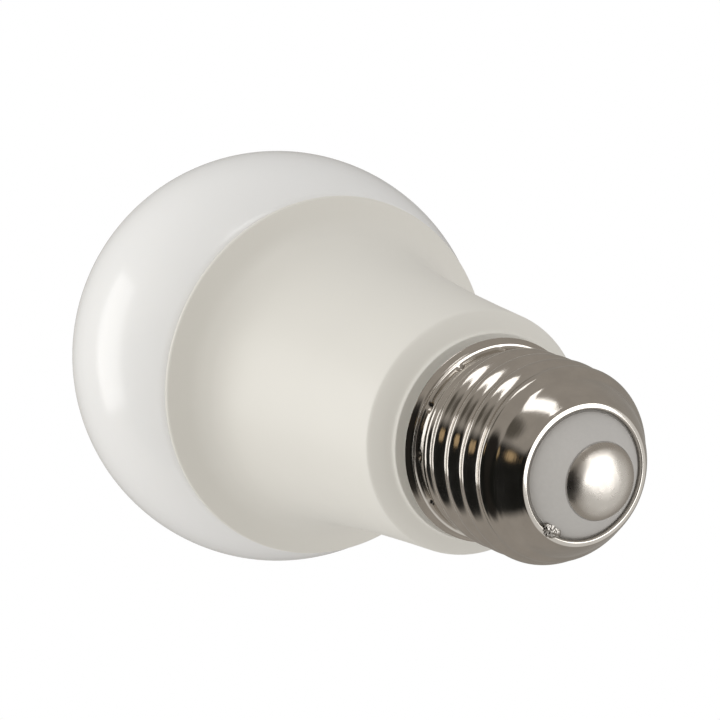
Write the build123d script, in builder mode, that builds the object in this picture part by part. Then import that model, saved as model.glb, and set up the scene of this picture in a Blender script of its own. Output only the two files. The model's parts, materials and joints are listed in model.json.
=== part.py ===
"""Smart light bulb on an E26 screw cap, upright, cap down.

Millimetres. The origin is the tip of the centre contact and +Z runs up the bulb's own axis to the
crown of the diffuser. Every piece that fits another takes its size from the same named value.
"""
import os
from math import cos, radians, sin, sqrt

from build123d import *

os.makedirs("parts", exist_ok=True)

# ---------------------------------------------------------------- driving sizes
dome_radius = 30.0        # outside of the diffuser
dome_height = 86.8        # centre of the diffuser above the contact tip
dome_wall = 1.2
seam_height = 71.3        # where the diffuser stands on the housing
rim_proud = 0.2           # housing rim outside the diffuser at the seam
rim_lip = 0.9             # height of the rounded rim
neck_radius = 16.5
neck_height = 31.2        # where the flank turns into the collar's chamfer
housing_wall = 1.6
collar_radius = 13.9      # short outward face below the chamfer
collar_height = 28.05     # end face of the collar
collar_rise = 0.75
spigot_radius = 11.85     # plastic spigot inside the screw shell
spigot_end = 12.5
spigot_wall = 1.2

thread_crest = 13.15      # E26 screw shell
thread_root = 12.33
thread_pitch = 3.629
thread_first = 9.2        # crest nearest the contact, on the -Y side
thread_turns = 3.9
shell_wall = 0.3
shell_top = 26.1
flare_radius = 13.6
bead_radius = 13.05
bead_height = 25.0
plain_radius = 12.45
plain_height = 23.4
roll_radius = 8.35        # inner edge of the rolled end
roll_height = 5.0
taper_radius = 8.95       # where the rolled end turns into the tapered shoulder
taper_top = 10.6          # where the shoulder has widened to the thread's root
thread_full = 12.9        # where the thread has its full height
dimple_count = 12
dimple_angle = -84.5
dimple_height = 24.25

insulator_radius = 8.05
insulator_height = 5.2
contact_radius = 4.95
contact_height = 1.5
contact_flat = 1.2        # radius of the flat on the tip
solder_angle = -167.0
solder_radius = 1.6
solder_at = 7.75

slip = 0.1                # loose fit between nested pieces
plate_seat = 71.4         # seat of the heat sink's plate
plate_thick = 1.5
sink_wall = 1.0
sink_end = 40.0
pad_thick = 0.3
led_board_thick = 1.0
board_thick = 1.2
sleeve_wall = 0.8
sleeve_floor = 32.2

driver_top = 65.0
driver_shelf = 33.0
driver_bottom = 17.0
tongue_half = 9.6
radio_y = 3.6
radio_half = 6.0
radio_bottom = 53.0
radio_top = 83.0
radio_thick = 1.0
feed_y = -2.0
lead_radius = 0.3

# ---------------------------------------------------------------- derived sizes
seam_rise = dome_height - seam_height
rim_radius = sqrt(dome_radius**2 - seam_rise**2) + rim_proud
dome_inside = dome_radius - dome_wall
register_radius = sqrt(dome_inside**2 - seam_rise**2) - slip
register_top = seam_height + 2.9
plate_radius = register_radius - 1.5
flank_top = seam_height - rim_lip
flank_drop = flank_top - neck_height
flank_width = rim_radius - 0.4 - neck_radius
flank = [
    (0.0, 1.0),
    (0.015, 0.833),
    (0.036, 0.678),
    (0.066, 0.556),
    (0.109, 0.456),
    (0.186, 0.356),
    (0.313, 0.267),
    (0.471, 0.189),
    (0.649, 0.111),
    (0.827, 0.05),
    (1.0, 0.0),
]
flank_outside = [(neck_radius + flank_width * w, flank_top - flank_drop * f) for f, w in flank]
led_board_radius = plate_radius - 1.6
pad_floor = plate_seat + plate_thick
board_floor = pad_floor + pad_thick
led_floor = board_floor + led_board_thick

# cap
shank_radius = 1.7
shank_top = roll_height + 2.6
lead_hole = 1.0
solder_rim = solder_at + solder_radius
wire_radius = 0.6
wire_at = 8.75            # the wire comes down into the side solder
wire_start = roll_height + 1.1
cement_floor = 13.2
cement_long = 8.0
resistor_radius = 1.6
resistor_floor = 8.4
resistor_long = 6.6

# inside of the neck
sleeve_radius = 14.2
sleeve_top = 66.5
driver_half = sleeve_radius - sleeve_wall - 0.25
sink_fit = housing_wall + slip
sink_heights = [66.0, 62.0, 54.0, 46.0, sink_end]
screw_at = 12.6
screw_radius = 1.25
boss_drop = 4.0
screw_end = plate_seat - boss_drop + 1.0
window_wide = 14.4
window_front = feed_y - 1.4
window_back = radio_y + 1.2

# boards
white_ring = led_board_radius - 3.4
colour_ring = 10.5
coil_y = -6.2
coil_z = 50.0
can_radius = 4.0
can_floor = 36.5
pin_radius = 0.25
radio_pin_height = 57.2
radio_front = radio_y - 0.5 * radio_thick
feed_foot = 58.8
feed_tip = led_floor + 2.4


def flank_at(height, inset):
    """Radius of the flank at a height, moved in by an inset."""
    for (r0, z0), (r1, z1) in zip(flank_outside, flank_outside[1:]):
        if z0 >= height >= z1:
            return r0 + (r1 - r0) * (z0 - height) / (z0 - z1) - inset
    return neck_radius - inset


def outline(points):
    """Closed outline of (radius, height) in the XZ plane."""
    with BuildSketch(Plane.XZ) as flat:
        with BuildLine():
            Polyline(*points, close=True)
        make_face()
    return flat.sketch


def turned(points, mode=Mode.ADD):
    """Solid of revolution about Z from a closed outline of (radius, height)."""
    revolve(outline(points), axis=Axis.Z, mode=mode)


def disc(radius, floor, height, mode=Mode.ADD):
    """Upright cylinder standing on a floor."""
    with Locations((0, 0, floor)):
        Cylinder(radius, height, align=(Align.CENTER, Align.CENTER, Align.MIN), mode=mode)


def ring(outer, inner, floor, height):
    """Upright tube standing on a floor."""
    turned([(inner, floor), (outer, floor), (outer, floor + height), (inner, floor + height)])


def block(centre, size, mode=Mode.ADD):
    """Square block by its middle and its sizes."""
    with Locations(centre):
        Box(*size, mode=mode)


def around(radius, angle, height=0.0):
    """Point at a radius and an angle about Z."""
    return (radius * cos(radians(angle)), radius * sin(radians(angle)), height)


dimple_turns = [dimple_angle + 360 / dimple_count * k for k in range(dimple_count)]
dimple_bumps = [around(thread_root - 0.15, turn, dimple_height) for turn in dimple_turns]
dimple_pits = [around(plain_radius + 0.35, turn, dimple_height) for turn in dimple_turns]
bump_radius = 0.55
pit_radius = 0.75
shell_inside = thread_root - shell_wall
wire_x, wire_y, _ = around(wire_at, solder_angle)
shoulder_outside = [      # the shell from its rolled end out to the full thread
    (taper_radius, roll_height - 0.22),
    (taper_radius + 0.45, roll_height + 0.3),
    (taper_radius + 1.25, roll_height + 1.7),
    (taper_radius + 2.0, roll_height + 3.0),
    (taper_radius + 2.7, roll_height + 4.3),
    (thread_root, taper_top),
    (thread_crest, thread_full),
]
roll_inside = [           # where the insulator lies against the rolled end of the shell
    (roll_radius + 0.1, roll_height + 0.45),
    (taper_radius + 0.2, roll_height + 0.6),
    (taper_radius + 0.9, roll_height + 1.7),
]
window_middle = 0.5 * (window_back + window_front)
window_deep = window_back - window_front

# ---------------------------------------------------------------- outside pieces
with BuildPart() as diffuser:
    with Locations((0, 0, dome_height)):
        Sphere(dome_radius)
        Sphere(dome_inside, mode=Mode.SUBTRACT)
    split(bisect_by=Plane.XY.offset(seam_height), keep=Keep.TOP)
    outer_rim = diffuser.edges().filter_by(GeomType.CIRCLE).group_by(Axis.Z)[0].sort_by(SortBy.LENGTH)[-1]
    fillet(outer_rim, radius=0.35)

with BuildPart() as dome_sealant:
    ring(register_radius + 2.5, register_radius, seam_height, 1.8)
    with Locations((0, 0, dome_height)):
        Sphere(dome_inside, mode=Mode.INTERSECT)

with BuildPart() as housing:
    with BuildSketch(Plane.XZ):
        with BuildLine():
            side = Spline(*flank_outside, tangents=[(-0.9, -0.3), (-0.04, -1.0)])
            Polyline(
                (neck_radius, neck_height),
                (neck_radius - 0.25, neck_height - 0.55),
                (collar_radius + 0.15, collar_height + collar_rise),
                (collar_radius, collar_height + collar_rise - 0.2),
                (collar_radius, collar_height + 0.25),
                (collar_radius - 0.25, collar_height),
                (spigot_radius, collar_height),
                (spigot_radius, spigot_end + 0.5),
                (spigot_radius - 0.5, spigot_end),
                (spigot_radius - spigot_wall, spigot_end),
                (spigot_radius - spigot_wall, sleeve_floor),
                (flank_at(sleeve_floor, housing_wall), sleeve_floor),
                (flank_at(38.0, housing_wall), 38.0),
                (flank_at(46.0, housing_wall), 46.0),
                (flank_at(54.0, housing_wall), 54.0),
                (flank_at(62.0, housing_wall), 62.0),
                (flank_at(66.0, housing_wall), 66.0),
                (flank_at(66.0, housing_wall), plate_seat),
                (plate_radius + slip, plate_seat),
                (plate_radius + slip, register_top),
                (register_radius - 0.4, register_top),
                (register_radius, register_top - 0.4),
                (register_radius, seam_height),
                (rim_radius - 0.4, seam_height),
            )
            RadiusArc((rim_radius - 0.4, seam_height), (rim_radius, seam_height - 0.45), 0.45)
            RadiusArc((rim_radius, seam_height - 0.45), flank_outside[0], 0.45)
        make_face()
    revolve(axis=Axis.Z)
    with Locations(*dimple_bumps):
        Sphere(bump_radius + slip, mode=Mode.SUBTRACT)

thread_line = Helix(
    pitch=thread_pitch,
    height=thread_pitch * thread_turns,
    radius=thread_root,
    center=(0, 0, thread_first - 0.25 * thread_pitch),
).rotate(Axis.Z, 180)
half = thread_pitch * 0.47
rise = thread_crest - thread_root
sunk = 0.14

with BuildPart() as screw_shell:
    disc(thread_root, roll_height - 1, plain_height + 2.2 - roll_height)
    with BuildSketch(Plane(origin=thread_line @ 0, x_dir=(-1, 0, 0), z_dir=thread_line % 0)):
        with BuildLine():
            Spline(
                (-sunk, -half),
                (0.5 * rise, -0.5 * half),
                (rise, 0),
                (0.5 * rise, 0.5 * half),
                (-sunk, half),
                tangents=[(0.45, 1.0), (-0.45, 1.0)],
            )
            Line((-sunk, half), (-sunk, -half))
        make_face()
    sweep(path=thread_line, is_frenet=True)
    turned(
        [
            (0, 0),
            (0, roll_height),
            (roll_radius, roll_height),
            (roll_radius + 0.25, roll_height - 0.25),
            *shoulder_outside,
            (20, thread_full),
            (20, 0),
        ],
        Mode.SUBTRACT,
    )
    turned([(0, plain_height), (20, plain_height), (20, 40), (0, 40)], Mode.SUBTRACT)
    turned(
        [
            (0, plain_height),
            (plain_radius, plain_height),
            (plain_radius, 24.4),
            (bead_radius - 0.15, bead_height - 0.25),
            (bead_radius, bead_height),
            (bead_radius - 0.12, bead_height + 0.25),
            (bead_radius - 0.1, bead_height + 0.5),
            (flare_radius - 0.1, shell_top - 0.25),
            (flare_radius, shell_top - 0.08),
            (flare_radius - 0.08, shell_top),
            (0, shell_top),
        ]
    )
    turned(
        [
            (0, roll_height - 1),
            (roll_radius, roll_height - 1),
            (roll_radius, roll_height + 0.3),
            *roll_inside,
            (taper_radius + 1.65, roll_height + 3.0),
            (taper_radius + 2.35, roll_height + 4.3),
            (shell_inside, taper_top),
            (shell_inside, shell_top - 1.2),
            (thread_root - 0.05, shell_top - 0.85),
            (flare_radius - 0.08, shell_top),
            (flare_radius - 0.08, shell_top + 1),
            (0, shell_top + 1),
        ],
        Mode.SUBTRACT,
    )
    with Locations(*dimple_bumps):
        Sphere(bump_radius)
    with Locations(*dimple_pits):
        Sphere(pit_radius, mode=Mode.SUBTRACT)
    with Locations(around(solder_at, solder_angle, roll_height - 1.0)):
        Cylinder(solder_radius, 1.7, align=(Align.CENTER, Align.CENTER, Align.MIN), mode=Mode.SUBTRACT)

with BuildPart() as cap_insulator:
    turned(
        [
            (shank_radius, contact_height),
            (contact_radius + 0.1, contact_height),
            (insulator_radius, insulator_height),
            *roll_inside,
            (taper_radius + 0.9, roll_height + 2.8),
            (9.0, roll_height + 2.8),
            (3.0, roll_height + 1.9),
            (shank_radius, roll_height + 1.9),
        ]
    )
    with Locations((wire_x, wire_y, 0)):
        Cylinder(wire_radius, 40, mode=Mode.SUBTRACT)

with BuildPart() as centre_contact:
    with BuildSketch(Plane.XZ):
        with BuildLine():
            Polyline((contact_flat, 0), (0, 0), (0, 0.9), (lead_hole, 0.9), (lead_hole, shank_top))
            Polyline((lead_hole, shank_top), (shank_radius, shank_top), (shank_radius, contact_height))
            Polyline((shank_radius, contact_height), (contact_radius, contact_height))
            Line((contact_radius, contact_height), (contact_radius, contact_height - 0.25))
            ThreePointArc(
                (contact_radius, contact_height - 0.25),
                (0.66 * contact_radius, 0.34),
                (contact_flat, 0),
            )
        make_face()
    revolve(axis=Axis.Z)

with BuildPart() as contact_solder:
    ring(lead_hole, lead_radius, 0.9, 2.6)

with BuildPart() as cap_cement:
    ring(shell_inside, spigot_radius, cement_floor, cement_long)

solder_folds = [(-8, 0.4, 0.6), (-3, 0.6, 0.65), (4, 0.55, 0.6), (9, 0.3, 0.6), (0, 0.2, 0.6)]

with BuildPart() as side_solder:
    with Locations(around(solder_at, solder_angle, roll_height - 0.3)):
        Cylinder(solder_radius, 1.4, align=(Align.CENTER, Align.CENTER, Align.MIN))
    for turn, reach, size in solder_folds:
        with Locations(around(insulator_radius + reach, solder_angle + turn, roll_height + 0.15)):
            Sphere(size)
    add(Solid.make_cylinder(insulator_radius + 0.05, 20), mode=Mode.SUBTRACT)
    add(Solid.make_cylinder(solder_rim, 20), mode=Mode.INTERSECT)
    add(cap_insulator.part, mode=Mode.SUBTRACT)
    add(screw_shell.part, mode=Mode.SUBTRACT)

# ---------------------------------------------------------------- heat sink and LED board
with BuildPart() as insulating_sleeve:
    ring(sleeve_radius, sleeve_radius - sleeve_wall, sleeve_floor, sleeve_top - sleeve_floor)
    ring(sleeve_radius, spigot_radius - spigot_wall, sleeve_floor, sleeve_wall)
    for side in (-1, 1):
        for face in (-1, 1):
            block(
                (
                    side * (sleeve_radius - sleeve_wall - 0.6),
                    face * (0.5 * board_thick + 0.6),
                    0.5 * (driver_shelf + driver_top),
                ),
                (1.8, 1.2, driver_top - driver_shelf),
            )

with BuildPart() as heat_sink:
    turned(
        [(0, plate_seat), (0, pad_floor), (plate_radius, pad_floor), (plate_radius, plate_seat)]
        + [(flank_at(66.0, sink_fit), plate_seat)]
        + [(flank_at(z, sink_fit), z) for z in sink_heights]
        + [(flank_at(z, sink_fit + sink_wall), z) for z in reversed(sink_heights)]
        + [(flank_at(66.0, sink_fit + sink_wall), plate_seat)]
    )
    for side in (-1, 1):
        with Locations((side * screw_at, 0, plate_seat - boss_drop)):
            Cylinder(2.4, boss_drop, align=(Align.CENTER, Align.CENTER, Align.MIN))
    block((0, window_middle, plate_seat), (window_wide, window_deep, 8), Mode.SUBTRACT)
    for side in (-1, 1):
        with Locations((side * screw_at, 0, plate_seat)):
            Cylinder(screw_radius, 12, mode=Mode.SUBTRACT)

with BuildPart() as thermal_pad:
    disc(led_board_radius - 0.5, pad_floor, pad_thick)
    block((0, window_middle, pad_floor), (window_wide, window_deep, 8), Mode.SUBTRACT)
    for side in (-1, 1):
        with Locations((side * screw_at, 0, pad_floor)):
            Cylinder(screw_radius + 0.2, 12, mode=Mode.SUBTRACT)

with BuildPart() as led_board:
    disc(led_board_radius, board_floor, led_board_thick)
    block((0, radio_y, board_floor), (2 * radio_half + 2 * slip, radio_thick + 2 * slip, 8), Mode.SUBTRACT)
    block((0, feed_y, board_floor), (12.0, 1.4, 8), Mode.SUBTRACT)
    for side in (-1, 1):
        with Locations((side * screw_at, 0, board_floor)):
            Cylinder(screw_radius + 0.2, 12, mode=Mode.SUBTRACT)

with BuildPart() as led_board_screws:
    for side in (-1, 1):
        with Locations((side * screw_at, 0, led_floor)):
            Cylinder(2.2, 1.3, align=(Align.CENTER, Align.CENTER, Align.MIN))
        with Locations((side * screw_at, 0, screw_end)):
            Cylinder(screw_radius, led_floor - screw_end, align=(Align.CENTER, Align.CENTER, Align.MIN))
        block((side * screw_at, 0, led_floor + 1.3), (2.6, 0.6, 1.4), Mode.SUBTRACT)
        block((side * screw_at, 0, led_floor + 1.3), (0.6, 2.6, 1.4), Mode.SUBTRACT)


def led_places(radius, first, count):
    """Places of a ring of LED packages on the board, each turned to face outward."""
    return [
        Location(around(radius, first + 360 / count * k, led_floor), (0, 0, first + 360 / count * k))
        for k in range(count)
    ]


with BuildPart() as warm_white_leds:
    with Locations(*led_places(white_ring, 9, 10)):
        Box(2.8, 3.5, 0.7, align=(Align.CENTER, Align.CENTER, Align.MIN))
        with Locations((0, 0, 0.7)):
            Cylinder(1.1, 0.2, mode=Mode.SUBTRACT)

with BuildPart() as cool_white_leds:
    with Locations(*led_places(white_ring, 27, 10)):
        Box(2.8, 3.5, 0.7, align=(Align.CENTER, Align.CENTER, Align.MIN))
        with Locations((0, 0, 0.7)):
            Cylinder(1.1, 0.2, mode=Mode.SUBTRACT)

with BuildPart() as colour_leds:
    with Locations(*led_places(colour_ring, 30, 6)):
        Box(5.0, 5.0, 1.4, align=(Align.CENTER, Align.CENTER, Align.MIN))
        with Locations((0, 0, 1.4)):
            Cylinder(2.0, 0.6, mode=Mode.SUBTRACT)

# ---------------------------------------------------------------- driver board and what it carries
board_face = 0.5 * board_thick
pin_x = [-5, -3, -1, 1, 3, 5]

with BuildPart() as driver_board:
    block(
        (0, 0, 0.5 * (driver_shelf + driver_top)),
        (2 * driver_half, board_thick, driver_top - driver_shelf),
    )
    block(
        (0, 0, 0.5 * (driver_bottom + driver_shelf)),
        (2 * tongue_half, board_thick, driver_shelf - driver_bottom),
    )
    for x in pin_x:
        with Locations(Location((x, 0, radio_pin_height), (90, 0, 0))):
            Cylinder(pin_radius, 10, mode=Mode.SUBTRACT)

with BuildPart() as transformer_core:
    block((0, coil_y, coil_z), (14.4, 4.6, 16.0))
    for side in (-1, 1):
        block((side * 3.85, coil_y, coil_z), (3.5, 10, 11.2), Mode.SUBTRACT)

with BuildPart() as transformer_bobbin:
    block((0, coil_y, coil_z), (5.6, 6.0, 11.2))
    for side in (-1, 1):
        block((0, 0.5 * (-board_face - 11.6), coil_z + side * 5.1), (11.0, 11.6 - board_face, 1.0))
    block((0, coil_y, coil_z), (4.2, 4.6, 20), Mode.SUBTRACT)

with BuildPart() as transformer_winding:
    block((0, coil_y, coil_z), (10.4, 9.6, 9.2))
    fillet(transformer_winding.edges().filter_by(Axis.Z), radius=2.0)
    block((0, coil_y, coil_z), (5.6, 6.0, 20), Mode.SUBTRACT)


def can(x, radius, floor, height):
    """Electrolytic can lying against the board's back face, with a beaded foot."""
    with Locations((x, board_face + radius, floor)):
        Cylinder(radius, height, align=(Align.CENTER, Align.CENTER, Align.MIN))


with BuildPart() as input_capacitor:
    can(5.4, can_radius, can_floor, 14.0)
    fillet(input_capacitor.edges().filter_by(GeomType.CIRCLE), radius=0.5)

with BuildPart() as output_capacitor:
    can(-5.4, can_radius, can_floor, 12.5)
    fillet(output_capacitor.edges().filter_by(GeomType.CIRCLE), radius=0.5)

with BuildPart() as capacitor_leads:
    for x in (-6.9, -3.9, 3.9, 6.9):
        with BuildLine() as run:
            FilletPolyline(
                (x, board_face + can_radius, can_floor),
                (x, board_face + can_radius, can_floor - 1.8),
                (x, board_face, can_floor - 1.8),
                radius=1.0,
            )
        with BuildSketch(Plane(origin=run.line @ 0, z_dir=run.line % 0)):
            Circle(lead_radius)
        sweep(path=run.line)

with BuildPart() as film_capacitor:
    block((-5.8, -board_face - 2.4, 37.6), (7.2, 4.8, 7.0))
    fillet(film_capacitor.edges(), radius=0.4)

with BuildPart() as line_inductor:
    with Locations((6.4, -board_face - 3.6, 33.9)):
        Cylinder(3.6, 1.0, align=(Align.CENTER, Align.CENTER, Align.MIN))
        Cylinder(1.8, 7.6, align=(Align.CENTER, Align.CENTER, Align.MIN))
    with Locations((6.4, -board_face - 3.6, 40.5)):
        Cylinder(3.6, 1.0, align=(Align.CENTER, Align.CENTER, Align.MIN))

with BuildPart() as inductor_winding:
    with Locations((6.4, -board_face - 3.6, 34.9)):
        Cylinder(3.2, 5.6, align=(Align.CENTER, Align.CENTER, Align.MIN))
        Cylinder(1.8, 20, mode=Mode.SUBTRACT)

with BuildPart() as varistor:
    with Locations(Location((-5.2, board_face + 1.3, 26.5), (90, 0, 0))):
        Cylinder(3.1, 2.6)
    fillet(varistor.edges().filter_by(GeomType.CIRCLE), radius=0.6)

with BuildPart() as bridge_rectifier:
    block((5.2, board_face + 1.2, 26.5), (5.2, 1.6, 4.4))
    for x in (3.8, 6.6):
        for side in (-1, 1):
            block((x, board_face + 0.2, 26.5 + side * 2.7), (0.8, 0.4, 1.4))
            block((x, board_face + 0.7, 26.5 + side * 2.1), (0.8, 1.0, 0.3))

with BuildPart() as driver_chip:
    block((0, -board_face - 1.0, 27.0), (4.9, 1.5, 3.9))
    for x in (-1.905, -0.635, 0.635, 1.905):
        for side in (-1, 1):
            block((x, -board_face - 0.125, 27.0 + side * 2.55), (0.42, 0.25, 1.1))
            block((x, -board_face - 0.55, 27.0 + side * 2.0), (0.42, 1.1, 0.25))

with BuildPart() as chip_diodes:
    for side in (-1, 1):
        block((side * 9.6, -board_face - 1.1, 60.0), (2.6, 2.2, 4.3))

with BuildPart() as chip_resistors:
    for x in (-7.6, -5.0, 5.0, 7.6):
        block((x, -board_face - 0.25, 22.0), (1.25, 0.5, 2.0))
        block((x, -board_face - 0.25, 30.5), (1.25, 0.5, 2.0))

with BuildPart() as chip_capacitors:
    for x in (-2.4, 2.4):
        block((x, -board_face - 0.45, 21.5), (1.25, 0.9, 2.0))
        block((x, -board_face - 0.45, 31.8), (1.25, 0.9, 2.0))

# ---------------------------------------------------------------- mains leads in the cap
with BuildPart() as fusible_resistor:
    with Locations((0, 0, resistor_floor)):
        Cylinder(resistor_radius, resistor_long, align=(Align.CENTER, Align.CENTER, Align.MIN))
    fillet(fusible_resistor.edges().filter_by(GeomType.CIRCLE), radius=0.5)

with BuildPart() as resistor_sleeve:
    with Locations((0, 0, resistor_floor - 0.3)):
        Cylinder(resistor_radius + 0.3, resistor_long + 0.6, align=(Align.CENTER, Align.CENTER, Align.MIN))
        Cylinder(resistor_radius, 40, mode=Mode.SUBTRACT)

with BuildPart() as resistor_leads:
    with Locations((0, 0, 0.9)):
        Cylinder(lead_radius, resistor_floor - 0.9, align=(Align.CENTER, Align.CENTER, Align.MIN))
    with BuildLine() as run:
        FilletPolyline(
            (0, 0, resistor_floor + resistor_long),
            (0, 0, resistor_floor + resistor_long + 1.2),
            (0, 2.6, driver_bottom + 1.6),
            (0, 2.6, driver_bottom + 4.4),
            (0, board_face, driver_bottom + 4.4),
            radius=0.8,
        )
    with BuildSketch(Plane(origin=run.line @ 0, z_dir=run.line % 0)):
        Circle(lead_radius)
    sweep(path=run.line)

with BuildPart() as neutral_wire:
    with BuildLine() as run:
        FilletPolyline(
            (wire_x, wire_y, wire_start),
            (wire_x, wire_y, 9.5),
            (wire_x, wire_y - 1.4, 13.0),
            (wire_x, wire_y - 1.4, 18.8),
            (wire_x, -board_face, 18.8),
            radius=1.1,
        )
    with BuildSketch(Plane(origin=run.line @ 0, z_dir=run.line % 0)):
        Circle(wire_radius)
    sweep(path=run.line)

# ---------------------------------------------------------------- radio board and the feed to the LEDs
with BuildPart() as feed_pins:
    for x in pin_x:
        block((x, feed_y, 0.5 * (feed_foot + feed_tip)), (0.5, 0.5, feed_tip - feed_foot))
        block((x, 0.5 * (feed_y - board_face), feed_foot + 0.25), (0.5, -feed_y - board_face, 0.5))

with BuildPart() as feed_header:
    block((0, 0.5 * (feed_y - 0.9 - board_face), feed_foot + 2.0), (12.4, -feed_y + 0.9 - board_face, 2.4))
    for x in pin_x:
        block((x, feed_y, feed_foot), (0.5, 0.5, 20), Mode.SUBTRACT)

with BuildPart() as feed_socket:
    block((0, feed_y, led_floor + 1.5), (12.4, 2.8, 3.0))
    for x in pin_x:
        block((x, feed_y, led_floor), (0.5, 0.5, 20), Mode.SUBTRACT)

with BuildPart() as radio_board:
    block(
        (0, radio_y, 0.5 * (radio_bottom + radio_top)),
        (2 * radio_half, radio_thick, radio_top - radio_bottom),
    )
    for x in pin_x:
        with Locations(Location((x, radio_y, radio_pin_height), (90, 0, 0))):
            Cylinder(pin_radius, 10, mode=Mode.SUBTRACT)

with BuildPart() as radio_header:
    block((0, 0.5 * (board_face + radio_front), radio_pin_height), (12.4, radio_front - board_face, 2.4))
    for x in pin_x:
        with Locations(Location((x, radio_y, radio_pin_height), (90, 0, 0))):
            Cylinder(pin_radius, 20, mode=Mode.SUBTRACT)

radio_back = radio_y + 0.5 * radio_thick
pin_middle = 0.5 * (radio_back - board_face)

with BuildPart() as radio_pins:
    for x in pin_x:
        with Locations(Location((x, pin_middle, radio_pin_height), (90, 0, 0))):
            Cylinder(pin_radius, radio_back + board_face + 1.4)

with BuildPart() as radio_shield:
    block((0, radio_y + 0.5 * radio_thick + 0.9, 63.0), (9.0, 1.8, 10.0))
    fillet(radio_shield.edges().filter_by(Axis.Y), radius=0.6)
    block((0, radio_y + 0.5 * radio_thick + 0.5, 63.0), (8.4, 2.2, 9.4), Mode.SUBTRACT)

with BuildPart() as antenna_trace:
    for k in range(6):
        block((0, radio_front - 0.05, led_floor + 1.6 + 1.2 * k), (9.6, 0.1, 0.5))
    for k in range(5):
        side = 1 if k % 2 else -1
        block((side * 4.55, radio_front - 0.05, led_floor + 2.2 + 1.2 * k), (0.5, 0.1, 1.7))

# ---------------------------------------------------------------- files
pieces = {
    "diffuser": diffuser,
    "dome_sealant": dome_sealant,
    "housing": housing,
    "screw_shell": screw_shell,
    "cap_insulator": cap_insulator,
    "centre_contact": centre_contact,
    "contact_solder": contact_solder,
    "side_solder": side_solder,
    "cap_cement": cap_cement,
    "insulating_sleeve": insulating_sleeve,
    "heat_sink": heat_sink,
    "thermal_pad": thermal_pad,
    "led_board": led_board,
    "led_board_screws": led_board_screws,
    "warm_white_leds": warm_white_leds,
    "cool_white_leds": cool_white_leds,
    "colour_leds": colour_leds,
    "driver_board": driver_board,
    "transformer_core": transformer_core,
    "transformer_bobbin": transformer_bobbin,
    "transformer_winding": transformer_winding,
    "input_capacitor": input_capacitor,
    "output_capacitor": output_capacitor,
    "capacitor_leads": capacitor_leads,
    "film_capacitor": film_capacitor,
    "line_inductor": line_inductor,
    "inductor_winding": inductor_winding,
    "varistor": varistor,
    "bridge_rectifier": bridge_rectifier,
    "driver_chip": driver_chip,
    "chip_diodes": chip_diodes,
    "chip_resistors": chip_resistors,
    "chip_capacitors": chip_capacitors,
    "fusible_resistor": fusible_resistor,
    "resistor_sleeve": resistor_sleeve,
    "resistor_leads": resistor_leads,
    "neutral_wire": neutral_wire,
    "feed_pins": feed_pins,
    "feed_header": feed_header,
    "feed_socket": feed_socket,
    "radio_board": radio_board,
    "radio_header": radio_header,
    "radio_pins": radio_pins,
    "radio_shield": radio_shield,
    "antenna_trace": antenna_trace,
}
for name, piece in pieces.items():
    piece.part.label = name
    export_step(piece.part, f"parts/{name}.step")
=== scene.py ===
"""Smart light bulb on an E26 screw cap: the visible pieces and their finishes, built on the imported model.

Every size below is in metres, in the bulb's own frame: the origin is the tip of the centre contact and
+Z runs up to the crown of the diffuser.
"""
import json
import math
from typing import NamedTuple

import bpy
from bpy.props import FloatProperty, FloatVectorProperty, IntProperty, PointerProperty
from mathutils import Matrix, Vector


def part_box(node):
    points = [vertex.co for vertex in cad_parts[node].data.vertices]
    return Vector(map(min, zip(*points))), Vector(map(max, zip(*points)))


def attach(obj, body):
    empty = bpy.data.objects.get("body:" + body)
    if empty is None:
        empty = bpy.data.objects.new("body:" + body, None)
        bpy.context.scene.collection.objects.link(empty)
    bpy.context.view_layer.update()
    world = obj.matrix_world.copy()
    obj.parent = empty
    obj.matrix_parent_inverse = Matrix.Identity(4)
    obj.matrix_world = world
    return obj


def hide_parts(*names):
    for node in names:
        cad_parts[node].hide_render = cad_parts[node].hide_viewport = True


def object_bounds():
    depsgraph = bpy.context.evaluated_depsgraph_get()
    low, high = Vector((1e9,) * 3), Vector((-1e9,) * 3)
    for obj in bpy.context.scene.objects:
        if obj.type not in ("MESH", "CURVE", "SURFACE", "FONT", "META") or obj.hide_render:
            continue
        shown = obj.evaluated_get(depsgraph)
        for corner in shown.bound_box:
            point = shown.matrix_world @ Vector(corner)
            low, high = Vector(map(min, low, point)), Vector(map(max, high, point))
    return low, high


bl_info = {
    "name": "Smart light bulb",
    "version": (1, 0, 0),
    "blender": (4, 5, 0),
    "location": "3D View > Sidebar > Bulb",
    "description": "Builds a screw-cap smart light bulb around its packed frame",
    "category": "Add Mesh",
}

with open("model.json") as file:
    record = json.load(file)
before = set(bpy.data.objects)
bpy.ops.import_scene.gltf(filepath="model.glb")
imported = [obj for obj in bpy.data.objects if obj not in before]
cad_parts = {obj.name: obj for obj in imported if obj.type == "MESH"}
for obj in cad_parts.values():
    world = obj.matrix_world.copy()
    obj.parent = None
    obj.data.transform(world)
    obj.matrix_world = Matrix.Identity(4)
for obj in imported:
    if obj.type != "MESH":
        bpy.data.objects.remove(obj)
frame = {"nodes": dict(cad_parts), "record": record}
CAD_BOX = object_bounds()
MM = 0.001
DIFFUSER_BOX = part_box("diffuser")
HOUSING_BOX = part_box("housing")
SHELL_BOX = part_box("screw_shell")
CONTACT_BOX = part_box("centre_contact")
INSULATOR_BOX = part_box("cap_insulator")
SOLDER_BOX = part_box("side_solder")
SHANK = 1.7 * MM  # radius of the contact's rivet shank


# ---------------------------------------------------------------- values a user may change
def linear(code):
    """Linear red, green and blue of an sRGB hex value."""
    parts = [int(code[k : k + 2], 16) / 255 for k in (1, 3, 5)]
    return tuple(c / 12.92 if c <= 0.04045 else ((c + 0.055) / 1.055) ** 2.4 for c in parts)


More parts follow.
